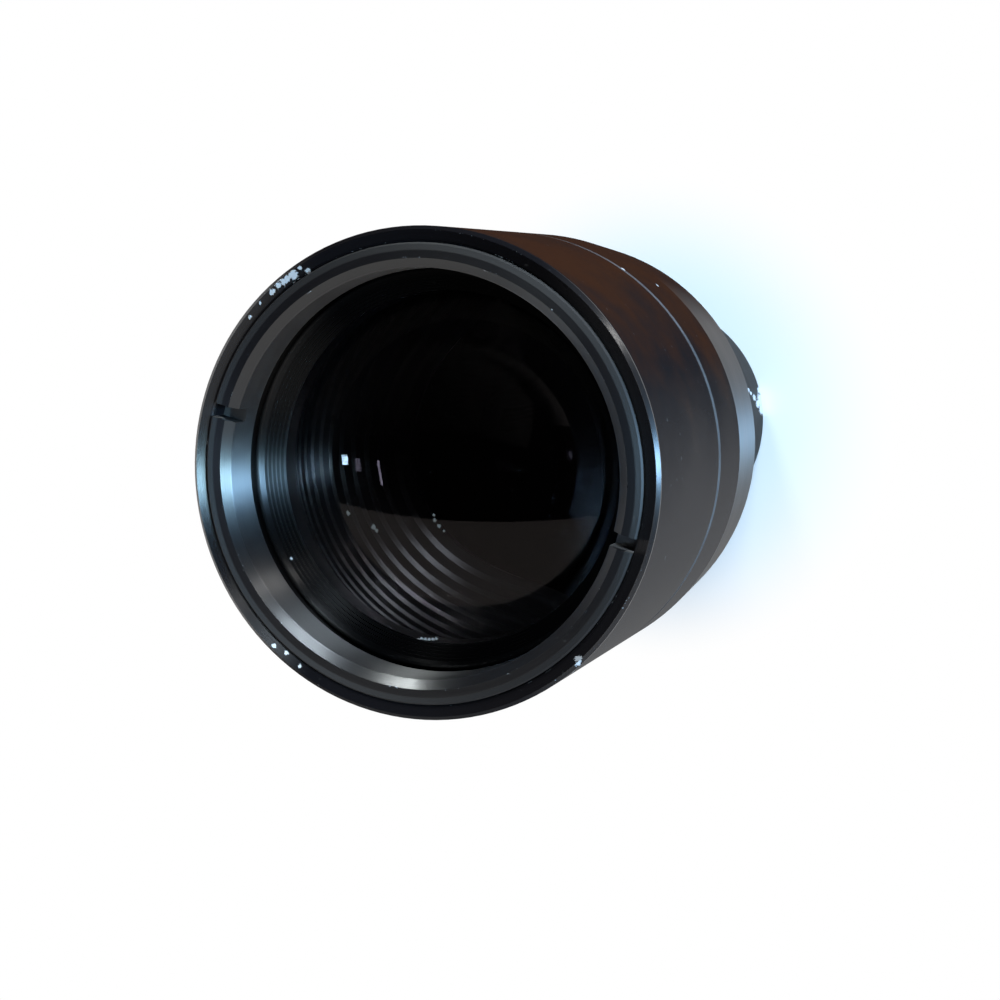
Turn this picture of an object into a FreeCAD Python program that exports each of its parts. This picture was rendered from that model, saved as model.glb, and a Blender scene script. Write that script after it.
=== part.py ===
import FreeCAD, Part
import math
import os
import re
import Sketcher

# Eyepiece with a straight barrel and a narrower nose, in millimetres.
# It stands on the end of its nose: the origin is the middle of that end, +Z runs up the
# optical axis to the eye lens, and the spanner slots lie along X.

# Driving dimensions. Each radius is a chain of walls and seats from the glass outwards,
# and each height is a chain from the nose end or from the rim.
SIZES = {
    "fit_clearance": 0.05,
    "thread_clearance": 0.05,
    "thread_depth": 0.55,
    "clear_radius": 17.85,
    "seat_width": 0.75,
    "cell_wall": 2.5,
    "mouth_step": 0.7,
    "barrel_wall": 1.55,
    "front_barrel_length": 26.1,
    "straight_length": 10.4,
    "taper_length": 12.6,
    "taper_drop": 0.8,
    "rim_chamfer": 0.4,
    "mouth_chamfer": 0.2,
    "joint_chamfer": 0.15,
    "ring_wall": 2.4,
    "ring_proud": 0.25,
    "ring_bevel_width": 0.9,
    "ring_bevel_depth": 0.7,
    "ring_edge_chamfer": 0.15,
    "ring_seat_depth": 5.0,
    "slot_width": 1.4,
    "slot_depth": 2.75,
    "thread_relief": 0.4,
    "cell_land": 0.8,
    "cell_groove_depth": 1.9,
    "cell_lip_depth": 1.35,
    "cell_lip_reach": 2.3,
    "cell_lip_flat": 0.45,
    "cell_slant_depth": 0.6,
    "cell_slant_width": 0.35,
    "cell_lip_fillet": 0.25,
    "step_count": 5,
    "seat_land": 0.3,
    "eye_seat_depth": 9.0,
    "eye_front_curve": 50.0,
    "eye_rear_curve": 50.0,
    "eye_edge": 2.8,
    "eye_lock_lip": 0.65,
    "eye_lock_height": 3.3,
    "lock_slot_width": 1.2,
    "lock_slot_depth": 1.0,
    "cell_tail": 0.6,
    "ledge_thickness": 3.0,
    "spigot_wall": 1.6,
    "groove_pitch": 1.2,
    "groove_mouth": 1.05,
    "groove_depth": 0.8,
    "baffle_rim_wall": 0.4,
    "baffle_opening": 9.0,
    "baffle_lip": 0.8,
    "baffle_step_count": 11,
    "baffle_flare": 1.4,
    "baffle_tread": 0.4,
    "baffle_tread_drop": 0.45,
    "rear_wall": 4.3,
    "rear_chamfer": 0.3,
    "inner_seat_width": 1.65,
    "flint_centre": 2.0,
    "flint_rear_curve": 150.0,
    "cement_curve": 42.0,
    "crown_edge": 0.9,
    "crown_front_curve": 70.0,
    "middle_air_gap": 0.4,
    "middle_rear_curve": 200.0,
    "middle_edge": 2.2,
    "middle_front_curve": 50.0,
    "middle_lock_height": 2.4,
    "nose_radius": 15.875,
    "nose_length": 42.5,
    "nose_wall": 1.975,
    "nose_chamfer": 0.35,
    "nose_spigot_step": 0.575,
    "nose_spigot_length": 3.2,
    "nose_seat_depth": 0.5,
    "nose_relief": 0.2,
    "nose_front_step": 1.0,
    "filter_thread_depth": 0.35,
    "filter_thread_length": 4.5,
    "nose_lock_start": 0.5,
    "nose_lock_height": 3.0,
    "nose_lock_wall": 1.4,
    "nose_crown_centre": 4.5,
    "nose_flint_centre": 2.0,
    "nose_rear_curve": 60.0,
    "nose_cement_curve": 30.0,
    "nose_front_curve": 40.0,
    "nose_spacer_length": 13.4,
    "nose_spacer_wall": 1.0,
    "stop_thickness": 1.0,
    "stop_wall": 3.2,
    "stop_lip": 0.3,
}


# How far a sphere has fallen away from its crown at a given radius from the axis.
def sag(curve, radius):
    return f"({curve} - sqrt({curve} ^ 2 - ({radius}) ^ 2))"


# Radii and heights that follow from the driving dimensions.
DERIVED = {
    "eye_radius": "clear_radius + seat_width",
    "eye_pocket": "eye_radius + fit_clearance",
    "eye_lock_bore": "eye_pocket + thread_depth",
    "cell_radius": "eye_lock_bore + cell_wall",
    "cell_bore": "cell_radius + fit_clearance",
    "cell_lip": "clear_radius + cell_lip_reach",
    "mouth_bore": "cell_bore + mouth_step",
    "barrel_radius": "mouth_bore + barrel_wall",
    "taper_radius": "barrel_radius - taper_drop",
    "ring_radius": "mouth_bore - thread_clearance",
    "ring_bore": "ring_radius - ring_wall",
    "spigot_bore": "barrel_radius - spigot_wall",
    "spigot_radius": "spigot_bore - thread_clearance",
    "nose_spigot": "nose_radius - nose_spigot_step",
    "rear_bore": "nose_spigot + thread_clearance",
    "nose_recess": "nose_radius + fit_clearance",
    "nose_seat": "nose_length + nose_seat_depth",
    "inner_radius": "rear_bore + inner_seat_width",
    "inner_pocket": "inner_radius + fit_clearance",
    "baffle_bore": "inner_pocket + thread_depth",
    "nose_bore": "nose_radius - nose_wall",
    "nose_glass": "nose_bore - fit_clearance",
    "nose_front_bore": "nose_bore - nose_front_step",
    "filter_bore": "nose_bore + filter_thread_depth",
    "shoulder": "nose_length + taper_length",
    "joint": "shoulder + straight_length",
    "rim": "joint + front_barrel_length",
    "ring_face": "rim + ring_proud",
    "ring_seat": "rim - ring_seat_depth",
    "cell_step": "ring_seat - thread_relief",
    "eye_seat": "rim - eye_seat_depth",
    "eye_front": "eye_seat + " + sag("eye_front_curve", "clear_radius"),
    "eye_front_rim": "eye_front - " + sag("eye_front_curve", "eye_radius"),
    "eye_rear_rim": "eye_front_rim - eye_edge",
    "eye_rear": "eye_rear_rim - " + sag("eye_rear_curve", "eye_radius"),
    "eye_lock_inner": "clear_radius - eye_lock_lip",
    "eye_lock_top": "eye_rear + " + sag("eye_rear_curve", "eye_lock_inner"),
    "eye_lock_bottom": "eye_lock_top - eye_lock_height",
    "ledge_top": "eye_lock_bottom - cell_tail",
    "ledge_bottom": "ledge_top - ledge_thickness",
    "flint_seat": "nose_length + rear_wall",
    "flint_rear": "flint_seat - " + sag("flint_rear_curve", "rear_bore"),
    "cement": "flint_rear + flint_centre",
    "cement_rim": "cement + " + sag("cement_curve", "inner_radius"),
    "crown_rim": "cement_rim + crown_edge",
    "crown_front": "crown_rim + " + sag("crown_front_curve", "inner_radius"),
    "spacer_bottom": "crown_front - " + sag("crown_front_curve", "rear_bore"),
    "middle_rear": "crown_front + middle_air_gap",
    "spacer_top": "middle_rear + " + sag("middle_rear_curve", "rear_bore"),
    "middle_rear_rim": "middle_rear + " + sag("middle_rear_curve", "inner_radius"),
    "middle_front_rim": "middle_rear_rim + middle_edge",
    "middle_front": "middle_front_rim + " + sag("middle_front_curve", "inner_radius"),
    "middle_lock_bottom": "middle_front - " + sag("middle_front_curve", "rear_bore"),
    "middle_lock_top": "middle_lock_bottom + middle_lock_height",
    "middle_thread": "(middle_front_rim + middle_lock_bottom) / 2",
    "nose_top": "nose_length + nose_spigot_length",
    "nose_lock_bottom": "filter_thread_length + nose_lock_start",
    "nose_lock_top": "nose_lock_bottom + nose_lock_height",
    "nose_rear": "nose_lock_top + " + sag("nose_rear_curve", "nose_glass"),
    "nose_cement": "nose_rear + nose_crown_centre",
    "nose_front": "nose_cement + nose_flint_centre",
    "nose_spacer_bottom": "nose_front + " + sag("nose_front_curve", "nose_glass"),
    "nose_spacer_top": "nose_spacer_bottom + nose_spacer_length",
    "stop_top": "nose_spacer_top + stop_thickness",
}

doc = FreeCAD.newDocument("Eyepiece")
sheet = doc.addObject("Spreadsheet::Sheet", "Sizes")
for row, (word, size) in enumerate(SIZES.items(), start=1):
    sheet.set(f"A{row}", word)
    sheet.set(f"B{row}", str(size))
    sheet.setAlias(f"B{row}", word)
doc.recompute()


# A formula in words becomes one that names only cells of the sheet.
def expand(formula):
    def name(match):
        word = match.group(0)
        if word in DERIVED:
            return f"({expand(DERIVED[word])})"
        if word in SIZES:
            return f"Sizes.{word}"
        return word
    return re.sub(r"[a-z_]+[a-z]", name, formula)


def value(formula):
    return float(sheet.evalExpression(expand(formula)))


def new_body(label):
    body = doc.addObject("PartDesign::Body", label)
    body.Label = label
    return body


def new_sketch(body, name, plane_role):
    plane = next(p for p in body.Origin.OriginFeatures if p.Role == plane_role)
    sketch = body.newObject("Sketcher::SketchObject", name)
    sketch.AttachmentSupport = (plane, "")
    sketch.MapMode = "FlatFace"
    return sketch


def bind(sketch, constraint, formula):
    number = sketch.addConstraint(constraint)
    sketch.setExpression(f"Constraints[{number}]", expand(formula))


# Holds one end of a line or arc at a radius and a height given by formulas.
def pin_point(sketch, geometry, end, radius, height):
    if radius == "0":
        sketch.addConstraint(Sketcher.Constraint("PointOnObject", geometry, end, -2))
    else:
        bind(sketch, Sketcher.Constraint("DistanceX", -1, 1, geometry, end, value(radius)), radius)
    if height is not None:
        bind(sketch, Sketcher.Constraint("DistanceY", -1, 1, geometry, end, value(height)), height)


# A closed outline of straight lines through the corners, each a radius and a height.
def outline_sketch(body, name, corners):
    sketch = new_sketch(body, name, "XZ_Plane")
    points = [FreeCAD.Vector(value(radius), value(height), 0) for radius, height in corners]
    for start, end in zip(points, points[1:] + points[:1]):
        sketch.addGeometry(Part.LineSegment(start, end), False)
    for number, (radius, height) in enumerate(corners):
        following = (number + 1) % len(corners)
        sketch.addConstraint(Sketcher.Constraint("Coincident", number, 2, following, 1))
        pin_point(sketch, number, 1, radius, height)
    return sketch


def revolve(body, sketch):
    turned = body.newObject("PartDesign::Revolution", f"{body.Name}_turned")
    turned.Profile = sketch
    turned.ReferenceAxis = (sketch, ["V_Axis"])
    turned.Angle = 360.0
    sketch.Visibility = False
    return turned


def turned_body(label, corners):
    body = new_body(label)
    revolve(body, outline_sketch(body, f"{label}_outline", corners))
    doc.recompute()
    return body


# Which end of an arc lies nearest to a radius.
def end_near(sketch, number, radius):
    return min((1, 2), key=lambda end: abs(sketch.getPoint(number, end).x - radius))


# One surface of a lens: an arc from the axis to the rim. Its centre is on the axis, below
# the surface where it bulges up and above it where it bulges down.
def surface_arc(sketch, surface, rim_radius):
    height, curve, bulge = surface
    bend = value(curve)
    rim_angle = math.acos(value(rim_radius) / bend)
    if bulge == "up":
        centre = FreeCAD.Vector(0, value(height) - bend, 0)
        start, end = rim_angle, math.pi / 2
    else:
        centre = FreeCAD.Vector(0, value(height) + bend, 0)
        start, end = -math.pi / 2, -rim_angle
    circle = Part.Circle(centre, FreeCAD.Vector(0, 0, 1), bend)
    number = sketch.addGeometry(Part.ArcOfCircle(circle, start, end), False)
    sketch.addConstraint(Sketcher.Constraint("PointOnObject", number, 3, -2))
    bind(sketch, Sketcher.Constraint("Radius", number, bend), curve)
    pin_point(sketch, number, end_near(sketch, number, 0), "0", height)
    pin_point(sketch, number, end_near(sketch, number, value(rim_radius)), rim_radius, None)
    return number


# A line from one arc to another, between their ends that lie nearest to a radius.
def join_arcs(sketch, first, second, radius):
    first_end = end_near(sketch, first, radius)
    second_end = end_near(sketch, second, radius)
    start = sketch.getPoint(first, first_end)
    end = sketch.getPoint(second, second_end)
    line = sketch.addGeometry(Part.LineSegment(start, end), False)
    sketch.addConstraint(Sketcher.Constraint("Coincident", first, first_end, line, 1))
    sketch.addConstraint(Sketcher.Constraint("Coincident", line, 2, second, second_end))


# A lens between two spheres: each surface is its height on the axis, its curve, and
# whether it bulges up or down.
def lens_body(label, rim_radius, front, rear):
    body = new_body(label)
    sketch = new_sketch(body, f"{label}_outline", "XZ_Plane")
    top = surface_arc(sketch, front, rim_radius)
    low = surface_arc(sketch, rear, rim_radius)
    join_arcs(sketch, top, low, value(rim_radius))
    join_arcs(sketch, low, top, 0)
    revolve(body, sketch)
    doc.recompute()


# The circular edges of a shape that have a given radius and height.
def ring_edges(feature, radius, height):
    tolerance = 1e-4
    names = []
    for number, edge in enumerate(feature.Shape.Edges, start=1):
        curve = edge.Curve
        if not isinstance(curve, Part.Circle):
            continue
        same_radius = abs(curve.Radius - value(radius)) < tolerance
        same_height = abs(curve.Center.z - value(height)) < tolerance
        if same_radius and same_height:
            names.append(f"Edge{number}")
    return names


def dress_edges(body, kind, name, places, size_property, formula):
    base = body.Tip
    names = []
    for radius, height in places:
        names.extend(ring_edges(base, radius, height))
    dressed = body.newObject(f"PartDesign::{kind}", name)
    dressed.Base = (base, names)
    dressed.setExpression(size_property, expand(formula))
    body.Tip = dressed
    doc.recompute()


# Two spanner slots across a ring, opposite each other along X, cut from one of its faces.
def spanner_slots(body, face_height, outer_radius, width, depth, upwards):
    sketch = new_sketch(body, f"{body.Name}_slot", "XY_Plane")
    sketch.setExpression("AttachmentOffset.Base.z", expand(face_height))
    overrun = f"{outer_radius} + {width}"
    reach = value(overrun)
    half = value(f"{width} / 2")
    places = ((0, -half), (reach, -half), (reach, half), (0, half))
    corners = [FreeCAD.Vector(x, y, 0) for x, y in places]
    for start, end in zip(corners, corners[1:] + corners[:1]):
        sketch.addGeometry(Part.LineSegment(start, end), False)
    for side in range(4):
        sketch.addConstraint(Sketcher.Constraint("Coincident", side, 2, (side + 1) % 4, 1))
        direction = "Vertical" if side % 2 else "Horizontal"
        sketch.addConstraint(Sketcher.Constraint(direction, side))
    sketch.addConstraint(Sketcher.Constraint("Symmetric", 3, 1, 3, 2, -1, 1))
    bind(sketch, Sketcher.Constraint("DistanceY", 1, 1, 1, 2, 2 * half), width)
    bind(sketch, Sketcher.Constraint("DistanceX", 0, 1, 0, 2, reach), overrun)
    pocket = body.newObject("PartDesign::Pocket", f"{body.Name}_slot_cut")
    pocket.Profile = sketch
    pocket.Reversed = upwards
    pocket.setExpression("Length", expand(depth))
    doc.recompute()
    pattern = body.newObject("PartDesign::PolarPattern", f"{body.Name}_slots")
    pattern.Originals = [pocket]
    pattern.Axis = (sketch, ["N_Axis"])
    pattern.Angle = 360.0
    pattern.Occurrences = 2
    body.Tip = pattern
    doc.recompute()


# Sharp grooves round a bore, which break up stray light: as many as fit one below the
# other between two heights.
def baffle_grooves(body, bore, top, bottom):
    name = f"{body.Name}_groove"
    count = f"floor(({top} - ({bottom})) / groove_pitch)"
    first = f"({top} + ({bottom}) + groove_pitch * ({count} - 1)) / 2"
    sketch = outline_sketch(body, name, [
        (bore, f"{first} + groove_mouth / 2"),
        (bore, f"{first} - groove_mouth / 2"),
        (f"{bore} + groove_depth", first),
    ])
    groove = body.newObject("PartDesign::Groove", f"{name}_cut")
    groove.Profile = sketch
    groove.ReferenceAxis = (sketch, ["V_Axis"])
    groove.Angle = 360.0
    doc.recompute()
    pattern = body.newObject("PartDesign::LinearPattern", f"{name}s")
    pattern.Originals = [groove]
    pattern.Direction = (sketch, ["V_Axis"])
    pattern.Reversed = True
    pattern.setExpression("Length", expand(f"groove_pitch * ({count} - 1)"))
    pattern.setExpression("Occurrences", expand(count))
    body.Tip = pattern
    doc.recompute()


# Front barrel: the straight tube round the eye lens, open at both ends.
def front_barrel():
    body = turned_body("front_barrel", [
        ("mouth_bore", "rim"),
        ("barrel_radius", "rim"),
        ("barrel_radius", "joint"),
        ("spigot_bore", "joint"),
        ("spigot_bore", "ledge_bottom"),
        ("baffle_bore", "ledge_bottom"),
        ("baffle_bore", "ledge_top"),
        ("cell_bore", "ledge_top"),
        ("cell_bore", "cell_step"),
        ("mouth_bore", "cell_step"),
    ])
    dress_edges(body, "Chamfer", "rim_edge", [("barrel_radius", "rim")], "Size", "rim_chamfer")
    dress_edges(body, "Chamfer", "mouth_edge", [("mouth_bore", "rim")], "Size", "mouth_chamfer")
    dress_edges(body, "Chamfer", "front_joint_edge", [("barrel_radius", "joint")], "Size", "joint_chamfer")
    baffle_grooves(body, "baffle_bore", "ledge_top", "ledge_bottom")


# Main barrel: screws into the front barrel, and tapers a little to its rear wall.
def main_barrel():
    body = turned_body("main_barrel", [
        ("spigot_radius", "ledge_bottom"),
        ("spigot_radius", "joint"),
        ("barrel_radius", "joint"),
        ("barrel_radius", "shoulder"),
        ("taper_radius", "nose_length"),
        ("nose_recess", "nose_length"),
        ("nose_recess", "nose_seat"),
        ("rear_bore", "nose_seat"),
        ("rear_bore", "flint_seat"),
        ("inner_pocket", "flint_seat"),
        ("inner_pocket", "middle_thread"),
        ("baffle_bore", "middle_thread"),
        ("baffle_bore", "ledge_bottom"),
    ])
    dress_edges(body, "Chamfer", "main_joint_edge", [("barrel_radius", "joint")], "Size", "joint_chamfer")
    dress_edges(body, "Chamfer", "rear_edge", [("taper_radius", "nose_length")], "Size", "rear_chamfer")


# Nose: the tube that slides into the instrument, with a filter thread in its end.
def nose_tube():
    body = turned_body("nose_tube", [
        ("filter_bore", "0"),
        ("nose_radius", "0"),
        ("nose_radius", "nose_length"),
        ("nose_radius - nose_relief", "nose_length"),
        ("nose_radius - nose_relief", "nose_seat"),
        ("nose_spigot", "nose_seat"),
        ("nose_spigot", "nose_top"),
        ("nose_front_bore", "nose_top"),
        ("nose_front_bore", "stop_top"),
        ("nose_bore", "stop_top"),
        ("nose_bore", "filter_thread_length"),
        ("filter_bore", "filter_thread_length"),
    ])
    dress_edges(body, "Chamfer", "nose_end_edge", [("nose_radius", "0")], "Size", "nose_chamfer")


# Retaining ring in the barrel's mouth, with a bevelled bore and two spanner slots.
def front_retaining_ring():
    body = turned_body("front_retaining_ring", [
        ("ring_bore + ring_bevel_width", "ring_face"),
        ("ring_radius", "ring_face"),
        ("ring_radius", "ring_seat"),
        ("ring_bore", "ring_seat"),
        ("ring_bore", "ring_face - ring_bevel_depth"),
    ])
    dress_edges(body, "Chamfer", "ring_edge", [("ring_radius", "ring_face")], "Size", "ring_edge_chamfer")
    spanner_slots(body, "ring_face", "ring_radius", "slot_width", "slot_depth", False)


# Eye lens cell: a relief groove, a smooth lip, and steps down to the glass.
def eye_lens_cell():
    lip = "ring_seat - cell_lip_depth"
    crest_radius = "cell_lip - cell_lip_flat"
    slant_radius = f"{crest_radius} - cell_slant_width"
    slant_height = f"{lip} - cell_slant_depth"
    steps = SIZES["step_count"]
    staircase = []
    for step in range(steps):
        inward = f"({slant_radius} - clear_radius) * {step + 1} / step_count"
        above = f"({slant_height} - eye_seat - seat_land) * {step} / step_count"
        below = f"({slant_height} - eye_seat - seat_land) * {step + 1} / step_count"
        staircase.append((f"{slant_radius} - {inward}", f"{slant_height} - {above}"))
        staircase.append((f"{slant_radius} - {inward}", f"{slant_height} - {below}"))
    groove_outer = "cell_radius - cell_land"
    body = turned_body("eye_lens_cell", [
        ("cell_radius", "ledge_top"),
        ("cell_radius", "ring_seat"),
        (groove_outer, "ring_seat"),
        (groove_outer, "ring_seat - cell_groove_depth"),
        ("cell_lip", "ring_seat - cell_groove_depth"),
        ("cell_lip", lip),
        (crest_radius, lip),
        (slant_radius, slant_height),
        *staircase[:-1],
        ("clear_radius", "eye_seat"),
        ("eye_pocket", "eye_seat"),
        ("eye_pocket", "eye_rear_rim - fit_clearance"),
        ("eye_lock_bore", "eye_rear_rim - fit_clearance"),
        ("eye_lock_bore", "ledge_top"),
    ])
    lip_edges = [("cell_lip", lip), (crest_radius, lip)]
    dress_edges(body, "Fillet", "lip_edge", lip_edges, "Radius", "cell_lip_fillet")


# Ring that locks the eye lens from behind, slotted on its rear face.
def eye_lens_lock_ring():
    body = turned_body("eye_lens_lock_ring", [
        ("eye_lock_inner", "eye_lock_top"),
        ("eye_lock_bore - thread_clearance", "eye_lock_top"),
        ("eye_lock_bore - thread_clearance", "eye_lock_bottom"),
        ("eye_lock_inner", "eye_lock_bottom"),
    ])
    baffle_grooves(body, "eye_lock_inner", "eye_lock_top", "eye_lock_bottom")
    spanner_slots(body, "eye_lock_bottom", "eye_lock_bore", "lock_slot_width", "lock_slot_depth", True)


# Ring that locks the inner stack of lenses from the front.
def middle_lock_ring():
    body = turned_body("middle_lock_ring", [
        ("rear_bore", "middle_lock_bottom"),
        ("baffle_bore - thread_clearance", "middle_lock_bottom"),
        ("baffle_bore - thread_clearance", "middle_lock_top"),
        ("rear_bore", "middle_lock_top"),
    ])
    spanner_slots(body, "middle_lock_top", "baffle_bore", "lock_slot_width", "lock_slot_depth", False)


# Stepped funnel in front of the inner lenses, against stray light. Its steps widen towards
# the opening, and each has a sloping tread and a steep riser.
def stepped_baffle():
    outer = "baffle_bore - fit_clearance"
    mouth = f"{outer} - baffle_rim_wall"
    lip_top = "middle_lock_top + baffle_lip"
    count = SIZES["baffle_step_count"]
    corners = [
        ("baffle_opening", "middle_lock_top"),
        (outer, "middle_lock_top"),
        (outer, "ledge_bottom"),
        (mouth, "ledge_bottom"),
    ]
    for step in range(count):
        before = f"({step} / baffle_step_count) ^ baffle_flare"
        after = f"({step + 1} / baffle_step_count) ^ baffle_flare"
        width = f"({mouth} - baffle_opening) * ({after} - {before})"
        edge = f"{mouth} - ({mouth} - baffle_opening) * {before}"
        height = f"ledge_bottom - (ledge_bottom - ({lip_top})) * {step} / baffle_step_count"
        if step > 0:
            corners.append((edge, height))
        corners.append((f"{edge} - {width} * baffle_tread",
                        f"{height} - {width} * baffle_tread * baffle_tread_drop"))
    corners.append(("baffle_opening", lip_top))
    turned_body("stepped_baffle", corners)


def lens_spacer():
    turned_body("lens_spacer", [
        ("rear_bore", "spacer_bottom"),
        ("inner_radius", "spacer_bottom"),
        ("inner_radius", "spacer_top"),
        ("rear_bore", "spacer_top"),
    ])


# Sleeve that holds the field stop against its step and the nose doublet behind it.
def nose_spacer():
    turned_body("nose_spacer", [
        ("nose_glass - nose_spacer_wall", "nose_spacer_bottom"),
        ("nose_glass", "nose_spacer_bottom"),
        ("nose_glass", "nose_spacer_top"),
        ("nose_glass - nose_spacer_wall", "nose_spacer_top"),
    ])


# Field stop: a thin ring whose opening narrows to a sharp lip.
def field_stop():
    turned_body("field_stop", [
        ("nose_glass - stop_wall + stop_thickness", "nose_spacer_top"),
        ("nose_glass", "nose_spacer_top"),
        ("nose_glass", "stop_top"),
        ("nose_glass - stop_wall", "stop_top"),
        ("nose_glass - stop_wall", "stop_top - stop_lip"),
    ])


# Ring that locks the nose doublet, slotted on its rear face.
def nose_lock_ring():
    body = turned_body("nose_lock_ring", [
        ("nose_glass - nose_lock_wall", "nose_lock_bottom"),
        ("nose_glass", "nose_lock_bottom"),
        ("nose_glass", "nose_lock_top"),
        ("nose_glass - nose_lock_wall", "nose_lock_top"),
    ])
    spanner_slots(body, "nose_lock_bottom", "nose_glass", "lock_slot_width", "lock_slot_depth", True)


def lenses():
    eye_front = ("eye_front", "eye_front_curve", "up")
    eye_rear = ("eye_rear", "eye_rear_curve", "down")
    middle_front = ("middle_front", "middle_front_curve", "up")
    middle_rear = ("middle_rear", "middle_rear_curve", "down")
    crown_front = ("crown_front", "crown_front_curve", "up")
    cement = ("cement", "cement_curve", "down")
    flint_rear = ("flint_rear", "flint_rear_curve", "down")
    nose_front = ("nose_front", "nose_front_curve", "down")
    nose_cement = ("nose_cement", "nose_cement_curve", "up")
    nose_rear = ("nose_rear", "nose_rear_curve", "up")
    lens_body("eye_lens", "eye_radius", eye_front, eye_rear)
    lens_body("middle_lens", "inner_radius", middle_front, middle_rear)
    lens_body("doublet_crown", "inner_radius", crown_front, cement)
    lens_body("doublet_flint", "inner_radius", cement, flint_rear)
    lens_body("nose_flint", "nose_glass", nose_front, nose_cement)
    lens_body("nose_crown", "nose_glass", nose_cement, nose_rear)


front_barrel()
main_barrel()
nose_tube()
front_retaining_ring()
eye_lens_cell()
eye_lens_lock_ring()
middle_lock_ring()
stepped_baffle()
lens_spacer()
nose_spacer()
field_stop()
nose_lock_ring()
lenses()
doc.recompute()

for item in doc.Objects:
    if "Invalid" in item.State or "Error" in item.State:
        raise RuntimeError(f"{item.Label} failed: {item.State}")
bodies = [item for item in doc.Objects if item.TypeId == "PartDesign::Body"]
for body in bodies:
    if body.Shape.isNull() or not body.Shape.isValid():
        raise RuntimeError(f"{body.Label} has no valid shape")

os.makedirs("parts", exist_ok=True)
for body in bodies:
    body.Shape.exportStep(f"parts/{body.Label}.step")
    box = body.Shape.BoundBox
    print(f"{body.Label}: {body.Shape.Volume:.1f} mm3, {len(body.Shape.Solids)} solid, "
          f"height {box.ZMin:.2f} to {box.ZMax:.2f}, radius {box.XMax:.2f}")
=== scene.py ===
import math
import bpy
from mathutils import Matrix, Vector

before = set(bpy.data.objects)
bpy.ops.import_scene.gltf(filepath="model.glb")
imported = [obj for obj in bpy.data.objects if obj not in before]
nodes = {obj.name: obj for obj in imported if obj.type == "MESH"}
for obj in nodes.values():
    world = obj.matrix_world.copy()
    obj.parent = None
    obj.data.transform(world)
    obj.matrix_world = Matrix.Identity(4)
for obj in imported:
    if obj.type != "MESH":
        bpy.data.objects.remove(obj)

# a new file's own cube, lamp and camera go first
for spare in ("Cube", "Light", "Camera"):
    if spare in bpy.data.objects:
        bpy.data.objects.remove(bpy.data.objects[spare])

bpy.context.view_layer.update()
print("frame loaded:", len(nodes), "nodes")

perMetre = 1000.0                          # millimetres in a metre
tiny = 0.0001                              # keeps a division by the radius finite


# one number on its way between nodes; arithmetic on it adds Math nodes
class Wire:
    def __init__(self, graph, socket):
        self.graph = graph
        self.socket = socket

    def __add__(self, other):
        return self.graph.maths("ADD", self, other)

    def __radd__(self, other):
        return self.graph.maths("ADD", other, self)

    def __sub__(self, other):
        return self.graph.maths("SUBTRACT", self, other)

    def __rsub__(self, other):
        return self.graph.maths("SUBTRACT", other, self)

    def __mul__(self, other):
        return self.graph.maths("MULTIPLY", self, other)

    def __rmul__(self, other):
        return self.graph.maths("MULTIPLY", other, self)

    def __truediv__(self, other):
        return self.graph.maths("DIVIDE", self, other)

    def __pow__(self, other):
        return self.graph.maths("POWER", self, other)


class Graph:
    def __init__(self, block):
        block.use_nodes = True
        self.block = block
        self.tree = block.node_tree
        self.tree.nodes.clear()

    # any node: its settings come first, then its sockets by name or number
    def node(self, kind, settings, sockets, output=0):
        made = self.tree.nodes.new(kind)
        for key, value in settings.items():
            if key == "stops":
                ramp = made.color_ramp.elements
                while len(ramp) < len(value):
                    ramp.new(0.5)
                for stop, (place, colour) in zip(ramp, value):
                    stop.position = place
                    stop.color = (*colour, 1.0)
            else:
                setattr(made, key, value)
        for key, value in sockets.items():
            if isinstance(value, Wire):
                self.tree.links.new(value.socket, made.inputs[key])
            else:
                made.inputs[key].default_value = value
        return Wire(self, made.outputs[output])

    def maths(self, operation, *values):
        return self.node("ShaderNodeMath", {"operation": operation}, dict(enumerate(values)))

    def mixColour(self, share, low, high):
        colours = {"Factor": share, 6: low, 7: high}
        return self.node("ShaderNodeMix", {"data_type": "RGBA"}, colours, 2)

    def smooth(self, value, start, end):
        limits = {"Value": value, "From Min": start, "From Max": end}
        return self.node("ShaderNodeMapRange", {"interpolation_type": "SMOOTHSTEP"}, limits)

    def vectorMaths(self, operation, first, second, output=0):
        settings = {"operation": operation}
        return self.node("ShaderNodeVectorMath", settings, {0: first, 1: second}, output)

    def vector(self, x, y, z):
        return self.node("ShaderNodeCombineXYZ", {}, {0: x, 1: y, 2: z})

    def noise(self, place, scale, detail=3.0, rough=0.5):
        sockets = {"Vector": place, "Scale": scale, "Detail": detail, "Roughness": rough}
        return self.node("ShaderNodeTexNoise", {}, sockets)

    # where a point lies: its place, x, y, z, distance from the axis and angle about it
    def place(self):
        point = self.node("ShaderNodeTexCoord", {}, {}, "Object")
        x, y, z = (self.node("ShaderNodeSeparateXYZ", {}, {0: point}, axis) for axis in range(3))
        radius = (x * x + y * y) ** 0.5
        angle = self.maths("ARCTAN2", y, x)
        return point, x, y, z, radius, angle

    def finish(self, shader, output="ShaderNodeOutputMaterial"):
        made = self.tree.nodes.new(output)
        self.tree.links.new(shader.socket, made.inputs["Surface"])
        return self.block


def newGraph(name):
    return Graph(bpy.data.materials.new(name))


def paint(material, *names):
    for name in names:
        for slot in nodes[name].material_slots:
            slot.material = material


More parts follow.
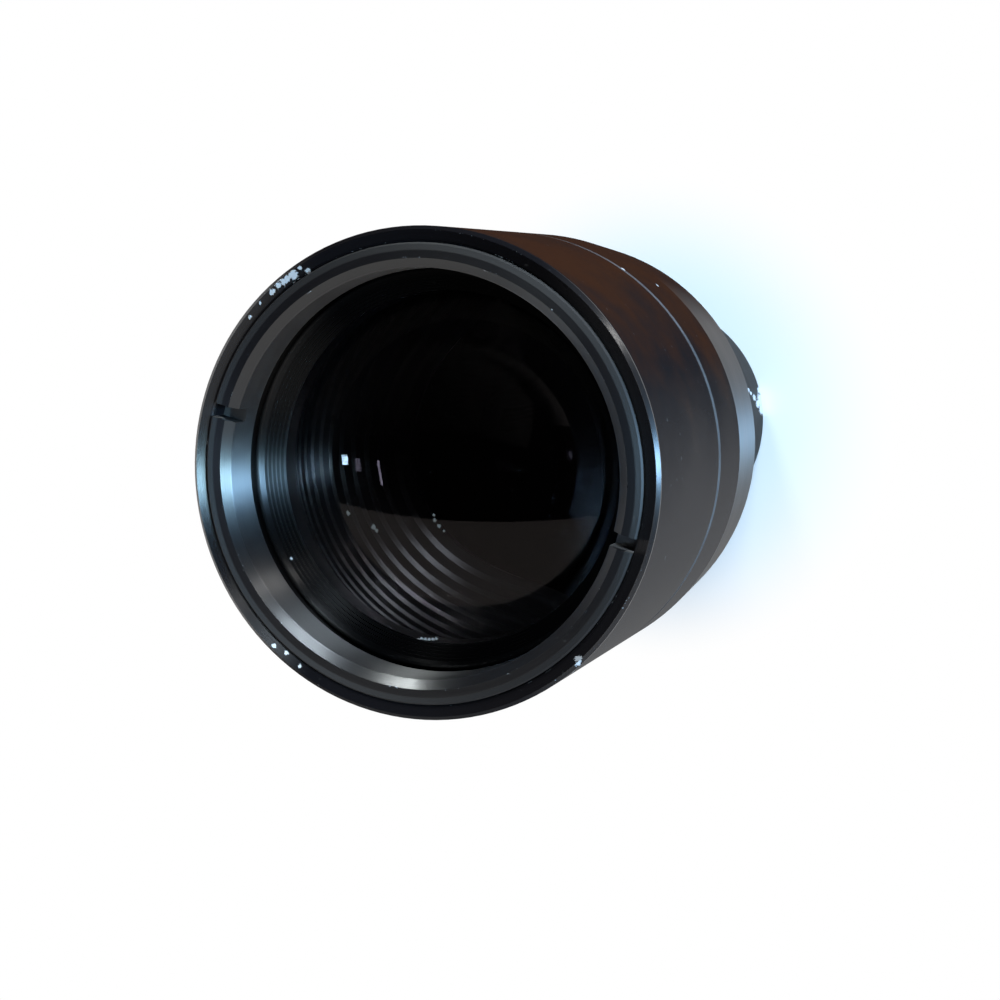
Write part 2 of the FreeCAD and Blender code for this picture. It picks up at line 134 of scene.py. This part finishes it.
# Black anodised aluminium, turned on a lathe. In every look a side is x and y of a direction from the
# axis, heights and radii are in metres, markDepth is in tenths of a millimetre, shine is the specular
# level and bend the refractive index. What shines on some sides only is fitted to one view.
barrelLook = {
    "dye": (0.008, 0.007, 0.008, 1.0),
    "paintedSheen": (0.033, 0.0105, 0.0044, 1.0),  # painted brown sheen on the side towards +y
    "paintedSheenSide": (0.05, 1.0),
    "paintedSheenFrom": 0.55,
    "roughness": 0.40,
    "markDepth": 0.14,
    "markScale": 5200.0,
    "anisotropy": 0.5,
    "shine": 0.0,
    "coat": (0.015, 0.21),
    "coatSide": (0.77, -0.64),             # the side that kept its coat
    "coatRoughness": 0.22,
    "wornEdges": [(0.02368, 0.0916), (0.0225, 0.0916)],
    # the joint edge painted pale on one side: a painted highlight where its chamfer catches the light
    "paintedHighlightEdges": [(0.0240, 0.0655, 0.0007, 0.12)],
    "paintedHighlightSide": (0.80, 0.60, 0.0),
    "jointLine": (0.0240, 0.0655, 0.0004),
    "land": {"height": 0.0916, "inner": 0.0225, "slope": 0.84},
    "finer": {"low": 0.0911, "high": 0.0920, "side": (0.974, 0.225), "both": True, "from": 0.45,
              "to": 0.85, "roughness": 0.28, "anisotropy": 0.6, "shine": 0.6, "bend": 1.5},
}
mainBarrelLook = {
    **barrelLook,
    "wornEdges": [(0.0229, 0.0427)],
    "finer": {"low": 0.0420, "high": 0.0551, "side": (1.0, 0.0), "both": False, "from": 0.35,
              "to": 0.8, "roughness": 0.45, "anisotropy": 0.96, "shine": 1.0, "bend": 1.6},
}
ringLook = {
    "dye": (0.003, 0.003, 0.004, 1.0),
    "paintedSheen": (0.004, 0.004, 0.004, 1.0),
    "paintedSheenSide": (0.3, 0.95),
    "paintedSheenFrom": 0.0,
    "roughness": 0.30,
    "markDepth": 0.18,
    "markScale": 6000.0,
    "anisotropy": 0.7,
    "shine": 1.0,
    "coat": (0.5, 0.5),
    "coatSide": (1.0, 0.0),
    "coatRoughness": 0.12,
    "dullBeyond": 0.0216,                  # the outer edge is rubbed dull
    "wornEdges": [(0.0209, 0.09185)],
    "finer": {"low": 0.0860, "high": 0.0911, "roughness": 0.38, "anisotropy": 1.0, "shine": 1.0,
              "bend": 1.8},
}
cellLook = {
    "dye": (0.0012, 0.0012, 0.0014, 1.0),
    "paintedSheen": (0.0015, 0.0015, 0.0015, 1.0),
    "paintedSheenSide": (0.3, 0.95),
    "paintedSheenFrom": 0.0,
    "roughness": 0.36,
    "markDepth": 0.18,
    "markScale": 6000.0,
    "anisotropy": 1.0,
    "shine": 0.75,
    "matt": {"side": (-0.95, -0.31), "low": 0.5, "high": 0.95, "shine": 0.04},
}
noseLook = {
    "dye": (0.010, 0.009, 0.009, 1.0),
    # painted brown sheen on the side towards +y
    "paintedSheen": (0.016, 0.010, 0.008, 1.0),
    "paintedSheenSide": (0.4, 0.9),
    "paintedSheenFrom": 0.0,
    "roughness": 0.38,
    "markDepth": 0.15,
    "markScale": 4800.0,
    "anisotropy": 0.5,
    "shine": 0.05,
}
innerLook = {
    "dye": (0.004, 0.004, 0.005, 1.0),
    "paintedSheen": (0.005, 0.005, 0.005, 1.0),
    "paintedSheenSide": (0.0, -1.0),
    "paintedSheenFrom": 0.0,
    "roughness": 0.30,
    "markDepth": 0.05,
    "markScale": 4000.0,
    "anisotropy": 0.6,
    "shine": 0.8,
    "matt": {"side": (-0.5, -0.87), "low": 0.2, "high": 0.75, "shine": 0.05},
}
baffleLook = {
    **innerLook,
    "shine": 0.45,
    "matt": {"side": (-0.42, -0.91), "low": 0.64, "high": 0.80, "shine": 0.04},
}
# what the blacks share: tool marks, clouds, dust, nicks and the edges of the painted sheen
surface = {
    "markTwist": 0.0004,                   # how little the marks change round the axis
    "bandWidth": 9.0,                      # bands against marks
    "markShare": 0.6,
    "bandShare": 0.8,
    "bareDepth": 0.3,
    "cloudScale": 110.0,
    "speckScale": 900.0,
    "sheenRagged": 0.9,
    "sheenTo": 1.1,
    "sheenEnds": (0.0903, 0.0910),          # no painted brown sheen on the rim above these heights
    "coatRagged": 0.3,
    "coatFrom": 0.1,
    "coatTo": 0.75,
    "dustFrom": 0.68,
    "dustTo": 0.80,
    "dustShare": 0.2,
    "dustColour": (0.20, 0.19, 0.18, 1.0),
    "dustRoughness": 0.3,
    "bandRoughness": 0.12,
    "cloudRoughness": 0.10,
    "rimRoughness": 0.35,
    "rimWidth": 0.0002,
    "patchScale": 240.0,
    "nickScale": 1900.0,
    "nickFrom": 0.66,
    "nickTo": 0.74,
    "nickReach": 0.00016,
    "streakTurn": 0.25,                    # streaks run across the tool marks
}
# spots where the black has come off: x, y, z and size in millimetres
barrelChips = [
    (-17.63, 15.09, 91.6, 0.50), (-18.14, 14.55, 91.6, 0.34), (-18.48, 14.15, 91.6, 0.36),
    (-18.89, 13.63, 91.6, 0.30), (-19.35, 12.90, 91.6, 0.34), (-16.20, 15.89, 91.6, 0.30),
    (-17.09, 15.95, 91.6, 0.20), (-20.99, 9.89, 91.6, 0.20), (-20.31, 11.51, 91.6, 0.16),
    (-10.10, -20.96, 91.6, 0.24), (-8.58, -21.19, 91.6, 0.24), (-6.91, -22.00, 91.6, 0.22),
    (20.10, -12.04, 91.6, 0.36), (20.19, -12.55, 91.4, 0.28), (19.56, -13.89, 89.8, 0.22),
    (7.39, 22.83, 65.0, 0.30), (10.01, 21.81, 59.1, 0.22),
]
noseChips = [
    (13.45, 8.43, 7.2, 0.30), (13.70, 8.02, 6.2, 0.26), (14.02, 7.43, 4.6, 0.42),
    (14.43, 6.61, 3.0, 0.52), (14.27, 6.95, 0.8, 0.95), (14.75, 5.88, 0.7, 0.80),
    (13.61, 8.16, 0.6, 0.42),
]
cellChips = [(1.59, -17.78, 82.75, 0.20), (-13.29, -13.64, 84.6, 0.20)]
bareMetal = {"colour": (0.66, 0.68, 0.71, 1.0), "metallic": 0.2, "raggedness": 2.6, "grain": 3600.0}


# how far the black has come off round each spot, 0 to 1
def chipMask(graph, point, chips, stretch):
    squeezed = (1.0, 1.0, 1.0 / stretch)
    place = graph.vectorMaths("MULTIPLY", point, squeezed)
    ragged = (graph.noise(point, bareMetal["grain"], 4.0, 0.7) - 0.5) * bareMetal["raggedness"]
    mask = 0.0
    for x, y, z, size in chips:
        centre = (x / perMetre, y / perMetre, z / perMetre / stretch)
        gap = graph.vectorMaths("DISTANCE", place, centre, "Value") / (size / perMetre)
        mask = graph.maths("MAXIMUM", mask, 1.0 - graph.smooth(gap + ragged, 0.85, 1.0))
    return mask


# how near a point is to an edge that runs round the axis, 1 on the edge and 0 out of reach
def nearEdge(graph, radius, z, edgeRadius, edgeHeight, reach):
    across = radius - edgeRadius
    along = z - edgeHeight
    gap = (across * across + along * along) ** 0.5
    return 1.0 - graph.smooth(gap, reach * 0.4, reach)


# small nicks along the sharp edges, and a painted highlight: an even pale grey along the joint edge on
# the side facing the light
def edgeWearAndHighlight(graph, point, radius, z, look):
    mask = 0.0
    patches = graph.noise(point, surface["patchScale"], 3.0, 0.6)
    nicks = graph.noise(point, surface["nickScale"], 4.0, 0.7) + (patches - 0.5) * 0.5
    nicks = graph.smooth(nicks, surface["nickFrom"], surface["nickTo"])
    for edgeRadius, edgeHeight in look.get("wornEdges", ()):
        edge = nearEdge(graph, radius, z, edgeRadius, edgeHeight, surface["nickReach"])
        mask = graph.maths("MAXIMUM", mask, edge * nicks)
    # painted highlight: the joint edge made pale on the side facing the light
    for edgeRadius, edgeHeight, reach, share in look.get("paintedHighlightEdges", ()):
        edge = nearEdge(graph, radius, z, edgeRadius, edgeHeight, reach)
        litSide = graph.vectorMaths("DOT_PRODUCT", point, look["paintedHighlightSide"], "Value") / (radius + tiny)
        edge = edge * graph.smooth(litSide, 0.25, 0.85)
        mask = graph.maths("MAXIMUM", mask, edge * (patches * 1.2 + 0.4) * share)
    return mask


def metalShader(graph, look, colour, roughness, bareAndHighlight, coat, bump):
    return graph.node("ShaderNodeBsdfPrincipled", {}, {
        "Base Color": colour,
        "Roughness": roughness,
        "Metallic": bareAndHighlight * bareMetal["metallic"],
        "IOR": look.get("bend", 1.5),
        "Specular IOR Level": look["shine"],
        "Anisotropic": look["anisotropy"],
        "Anisotropic Rotation": surface["streakTurn"],
        "Coat Weight": coat,
        "Coat Roughness": look.get("coatRoughness", 0.2),
        "Normal": bump,
    })


# how much a point lies on the side that look names, from -1 to 1
def sideShare(x, y, radius, side):
    return (x * side[0] + y * side[1]) / (radius + tiny)


def blackMetal(name, look, chips=(), stretch=1.0):
    graph = newGraph(name)
    point, x, y, z, radius, angle = graph.place()
    aroundAxis = graph.vector(radius, z, angle * surface["markTwist"])
    marks = graph.noise(aroundAxis, look["markScale"], 2.0, 0.6)
    bands = graph.noise(aroundAxis, look["markScale"] / surface["bandWidth"], 3.0, 0.6)
    cloud = graph.noise(point, surface["cloudScale"], 5.0, 0.6)
    specks = graph.noise(point, surface["speckScale"], 3.0, 0.6)
    # painted sheen: a lighter, browner tone on the side each look names
    sheenShare = sideShare(x, y, radius, look["paintedSheenSide"]) + (cloud - 0.5) * surface["sheenRagged"]
    sheenShare = graph.smooth(sheenShare, look["paintedSheenFrom"], surface["sheenTo"])
    sheenShare = sheenShare * (1.0 - graph.smooth(z, *surface["sheenEnds"]))
    dust = graph.smooth(specks, surface["dustFrom"], surface["dustTo"]) * surface["dustShare"]
    colour = graph.mixColour(sheenShare, look["dye"], look["paintedSheen"])
    colour = graph.mixColour(dust, colour, surface["dustColour"])
    # bare metal of nicks and chips, plus the painted joint highlight
    bareAndHighlight = edgeWearAndHighlight(graph, point, radius, z, look)
    if chips:
        bareAndHighlight = graph.maths("MAXIMUM", bareAndHighlight, chipMask(graph, point, chips, stretch))
    grain = ((bands - 0.5) * surface["bandRoughness"] + (cloud - 0.5) * surface["cloudRoughness"]
             + dust * surface["dustRoughness"])
    coat = 0.0
    if "coat" in look:
        weak, strong = look["coat"]
        kept = sideShare(x, y, radius, look["coatSide"]) + (cloud - 0.5) * surface["coatRagged"]
        coat = graph.smooth(kept, surface["coatFrom"], surface["coatTo"]) * (strong - weak) + weak
    if "jointLine" in look:                # the gap of the joint, dark where nothing shines on it
        coat = coat * (1.0 - nearEdge(graph, radius, z, *look["jointLine"]))
    if "dullBeyond" in look:
        rim = graph.smooth(radius, look["dullBeyond"], look["dullBeyond"] + surface["rimWidth"])
        grain = grain + rim * surface["rimRoughness"]
        coat = coat * (1.0 - rim)
    relief = marks * surface["markShare"] + bands * surface["bandShare"] - bareAndHighlight * surface["bareDepth"]
    relief = relief * (look["markDepth"] * 0.0001)
    if "land" in look:
        land = look["land"]                # rounded over towards the mouth
        flat = graph.smooth(z, land["height"] - 0.00003, land["height"] - 0.00001)
        relief = relief + (radius - land["inner"]) * flat * land["slope"]
    bump = graph.node("ShaderNodeBump", {}, {"Strength": 1.0, "Distance": 1.0, "Height": relief})
    plain = graph.mixColour(bareAndHighlight, look["dye"], bareMetal["colour"])
    colour = graph.mixColour(bareAndHighlight, colour, bareMetal["colour"])
    shader = metalShader(graph, look, colour, grain + look["roughness"], bareAndHighlight, coat, bump)
    if "matt" in look:                     # shiny on one side only
        matt = {**look, "shine": look["matt"]["shine"]}
        dull = metalShader(graph, matt, colour, grain + look["roughness"], bareAndHighlight, coat, bump)
        share = sideShare(x, y, radius, look["matt"]["side"])
        shiny = graph.smooth(share, look["matt"]["low"], look["matt"]["high"])
        shader = graph.node("ShaderNodeMixShader", {}, {0: shiny, 1: dull, 2: shader})
    if "finer" in look:                    # a zone between two heights with a finish of its own
        finer = look["finer"]
        zone = (graph.smooth(z, finer["low"] - surface["rimWidth"], finer["low"])
                * (1.0 - graph.smooth(z, finer["high"], finer["high"] + surface["rimWidth"])))
        if "side" in finer:
            share = sideShare(x, y, radius, finer["side"])
            if finer["both"]:
                share = graph.maths("ABSOLUTE", share)
            zone = zone * graph.smooth(share, finer["from"], finer["to"])
        fine = metalShader(graph, finer, plain, grain + finer["roughness"], bareAndHighlight, 0.0, bump)
        shader = graph.node("ShaderNodeMixShader", {}, {0: zone, 1: shader, 2: fine})
    return graph.finish(shader)


paint(blackMetal("barrelBlack", barrelLook, barrelChips), "front_barrel")
paint(blackMetal("mainBlack", mainBarrelLook, barrelChips), "main_barrel")
paint(blackMetal("ringBlack", ringLook), "front_retaining_ring")
paint(blackMetal("cellBlack", cellLook, cellChips), "eye_lens_cell")
paint(blackMetal("noseBlack", noseLook, noseChips, 2.4), "nose_tube")
paint(blackMetal("innerBlack", innerLook), "eye_lens_lock_ring", "middle_lock_ring", "lens_spacer",
      "field_stop", "nose_spacer", "nose_lock_ring")
paint(blackMetal("baffleBlack", baffleLook), "stepped_baffle")
print("metal painted")


# coated glass; specks of dust as x, y, z and size in millimetres, and a painted highlight on the eye
# lens edge listed the same way as chips
eyeGlassLook = {
    # a grey tint that darkens everything seen through the lens: painted shade
    "shadeTint": (0.52, 0.485, 0.50, 1.0),
    "coating": (0.40, 0.36, 0.36, 1.0),
    "shadow": (0.85, 0.85, 0.85, 1.0),
    "bend": 1.52,
    "specks": [(-8.54, -7.25, 84.62, 0.26), (-5.33, -7.68, 85.01, 0.30), (-4.92, -7.97, 85.01, 0.20),
               (0.69, -4.42, 85.69, 0.14), (0.91, -4.88, 85.64, 0.20), (1.46, -5.34, 85.59, 0.20),
               (2.08, -5.68, 85.52, 0.12)],
    # these chips are a painted highlight: a pale dash along the lower edge of the lens
    "chips": [(1.85, -17.70, 82.6, 0.20), (2.20, -17.60, 82.6, 0.20), (2.60, -17.48, 82.7, 0.18),
              (3.00, -17.30, 82.7, 0.20), (3.40, -17.15, 82.8, 0.18)],
    "inkedFrom": 0.01856,
    "rear": {"below": 0.0825, "coating": (0.02, 0.02, 0.02, 1.0)},
}
innerGlassLook = {
    "shadeTint": (0.80, 0.80, 0.80, 1.0),
    "coating": (0.02, 0.02, 0.02, 1.0),
    "shadow": (0.85, 0.85, 0.85, 1.0),
    "bend": 1.60,
}
glassDirt = {
    "smearScale": 160.0,
    "smearRoughness": 0.012,
    "dustScale": 1100.0,
    "dustShare": 0.15,
    "speckShare": 0.8,
    "dustColour": (0.16, 0.16, 0.15, 1.0),
    "dashColour": (0.75, 0.77, 0.80, 1.0),
    "ink": (0.002, 0.002, 0.002, 1.0),
}


def glassShader(graph, look, coating, smear):
    return graph.node("ShaderNodeBsdfPrincipled", {}, {
        "Base Color": look["shadeTint"],
        "Roughness": smear * glassDirt["smearRoughness"],
        "IOR": look["bend"],
        "Specular Tint": coating,
        "Transmission Weight": 1.0,
    })


def coatedGlass(name, look):
    graph = newGraph(name)
    point, x, y, z, radius, angle = graph.place()
    smear = graph.smooth(graph.noise(point, glassDirt["smearScale"], 5.0, 0.6), 0.45, 0.85)
    glass = glassShader(graph, look, look["coating"], smear)
    if "rear" in look:                     # a guess: its rear face has the better coating
        rear = glassShader(graph, look, look["rear"]["coating"], smear)
        front = graph.maths("GREATER_THAN", z, look["rear"]["below"])
        glass = graph.node("ShaderNodeMixShader", {}, {0: front, 1: rear, 2: glass})
    if "inkedFrom" in look:                # a guess: its edge is blackened beyond this radius
        ink = graph.node("ShaderNodeBsdfDiffuse", {}, {"Color": glassDirt["ink"]})
        inked = graph.maths("GREATER_THAN", radius, look["inkedFrom"])
        glass = graph.node("ShaderNodeMixShader", {}, {0: inked, 1: glass, 2: ink})
    if "specks" in look:
        fine = graph.smooth(graph.noise(point, glassDirt["dustScale"], 3.0, 0.6), 0.74, 0.80)
        specks = chipMask(graph, point, look["specks"], 1.0) * glassDirt["speckShare"]
        dust = graph.maths("MAXIMUM", fine * glassDirt["dustShare"], specks)
        # painted highlight: the pale dash on the lens edge, mixed in with the dust
        dashShare = chipMask(graph, point, look["chips"], 1.0)
        dustAndDash = graph.mixColour(dashShare, glassDirt["dustColour"], glassDirt["dashColour"])
        dustAndDash = graph.node("ShaderNodeBsdfDiffuse", {}, {"Color": dustAndDash})
        dust = graph.maths("MAXIMUM", dust, dashShare)
        glass = graph.node("ShaderNodeMixShader", {}, {0: dust, 1: glass, 2: dustAndDash})
    shadow = graph.node("ShaderNodeLightPath", {}, {}, "Is Shadow Ray")
    clear = graph.node("ShaderNodeBsdfTransparent", {}, {"Color": look["shadow"]})
    return graph.finish(graph.node("ShaderNodeMixShader", {}, {0: shadow, 1: glass, 2: clear}))


paint(coatedGlass("eyeGlass", eyeGlassLook), "eye_lens")
paint(coatedGlass("innerGlass", innerGlassLook), "middle_lens", "doublet_crown", "doublet_flint",
      "nose_flint", "nose_crown")
print("glass painted")


# floor, light and camera
floorLook = {
    "width": 8.0,
    "colour": (0.90, 0.90, 0.90, 1.0),
    "grainColour": (0.84, 0.84, 0.84, 1.0),
    "grainScale": 40.0,
    "grainShare": 0.06,
    "roughness": 0.9,
    "shine": 0.1,
    "white": (1.0, 1.0, 1.0, 1.0),
    "whiteFrom": 0.016,                    # radius from which a viewer sees plain white
    "whiteTo": 0.034,
}
bpy.ops.object.select_all(action="DESELECT")
bpy.ops.mesh.primitive_plane_add(size=floorLook["width"])
floor = bpy.context.object
floor.name = "floor"
graph = newGraph("floorPaint")
point, x, y, z, radius, angle = graph.place()
grain = graph.noise(point, floorLook["grainScale"]) * floorLook["grainShare"]
board = graph.mixColour(grain, floorLook["colour"], floorLook["grainColour"])
matt = graph.node("ShaderNodeBsdfPrincipled", {}, {
    "Base Color": board,
    "Roughness": floorLook["roughness"],
    "Specular IOR Level": floorLook["shine"],
})
white = graph.node("ShaderNodeEmission", {}, {"Color": floorLook["white"], "Strength": 1.0})
seen = sum(graph.node("ShaderNodeLightPath", {}, {}, ray)
           for ray in ("Is Camera Ray", "Is Glossy Ray", "Is Transmission Ray"))
outside = graph.smooth(radius, floorLook["whiteFrom"], floorLook["whiteTo"])
share = graph.maths("MINIMUM", seen, 1.0) * outside
mixed = graph.node("ShaderNodeMixShader", {}, {0: share, 1: matt, 2: white})
floor.data.materials.append(graph.finish(mixed))

# a dark room over a light horizon; the stops are heights of the ray's direction
worldLook = {
    "ceiling": (0.015, 0.014, 0.016),
    "horizon": (0.95, 0.96, 1.0),
    "horizonTo": 0.03,
    "ceilingFrom": 0.12,
}
world = bpy.data.worlds.new("studio")
bpy.context.scene.world = world
graph = Graph(world)
direction = graph.node("ShaderNodeTexCoord", {}, {}, "Generated")
upward = graph.node("ShaderNodeSeparateXYZ", {}, {0: direction}, 2)
stops = [(0.0, worldLook["horizon"]), (worldLook["horizonTo"], worldLook["horizon"]),
         (worldLook["ceilingFrom"], worldLook["ceiling"])]
sky = graph.node("ShaderNodeValToRGB", {"stops": stops}, {0: upward})
room = graph.node("ShaderNodeBackground", {}, {"Color": sky, "Strength": 1.0})
graph.finish(room, "ShaderNodeOutputWorld")

# softboxes: azimuth and elevation of their place, distance, width, height, power, colour;
# the far ones give the three glints at the left of the eye lens, lowPanel its pale lower half
softboxes = {
    "rightWindow": (16.5, 19.0, 0.60, 0.10, 0.32, 4.4, (0.34, 0.63, 1.0)),
    "rightPane": (13.0, 38.0, 0.60, 0.09, 0.09, 1.3, (0.50, 0.84, 1.0)),
    "sideWindow": (58.0, 12.0, 0.60, 0.05, 0.10, 0.45, (1.0, 0.98, 0.96)),
    "sidePane": (59.0, 39.4, 0.60, 0.05, 0.05, 0.08, (1.0, 0.98, 0.96)),
    "topWindow": (121.8, 25.0, 0.60, 0.10, 0.07, 1.0, (0.93, 1.0, 1.0)),
    "ceilingLamp": (88.0, 47.0, 0.60, 0.16, 0.014, 1.8, (0.78, 0.90, 1.0)),
    "lowPanel": (-73.0, 42.0, 1.10, 3.20, 1.30, 6.5, (1.0, 0.97, 0.92)),
    "farWindow": (200.2, 44.3, 0.90, 0.034, 0.028, 0.20, (0.45, 0.70, 1.0)),
    "farPane": (202.0, 48.1, 0.90, 0.045, 0.024, 0.012, (0.70, 0.72, 1.0)),
    "farSlit": (205.6, 54.2, 0.90, 0.09, 0.012, 0.025, (0.72, 0.72, 1.0)),
}
aim = Vector((0.0, 0.0, 0.06))
for name, (azimuth, elevation, distance, wide, high, watts, colour) in softboxes.items():
    turn = math.radians(azimuth)
    rise = math.radians(elevation)
    away = Vector((math.cos(turn) * math.cos(rise), math.sin(turn) * math.cos(rise), math.sin(rise)))
    bpy.ops.object.light_add(type="AREA", location=aim + away * distance)
    lamp = bpy.context.object
    lamp.name = name
    lamp.rotation_euler = away.to_track_quat("Z", "Y").to_euler()
    lamp.data.shape = "RECTANGLE"
    lamp.data.size = wide
    lamp.data.size_y = high
    lamp.data.energy = watts
    lamp.data.color = colour
    lamp.visible_camera = False
print("floor and lamps set")

cameraPlace = {
    "location": (0.06277, 0.03662, 0.28097),
    "turn": (-5.857, 18.127, 15.629),
    "lens": 75.6,
    "sensor": 36.0,
    "nearest": 0.01,
}
bpy.ops.object.camera_add(location=cameraPlace["location"],
                          rotation=[math.radians(angle) for angle in cameraPlace["turn"]])
camera = bpy.context.object
camera.data.lens = cameraPlace["lens"]
camera.data.sensor_width = cameraPlace["sensor"]
camera.data.clip_start = cameraPlace["nearest"]
bpy.context.scene.camera = camera
bpy.context.scene.view_settings.view_transform = "Standard"
print("camera set")
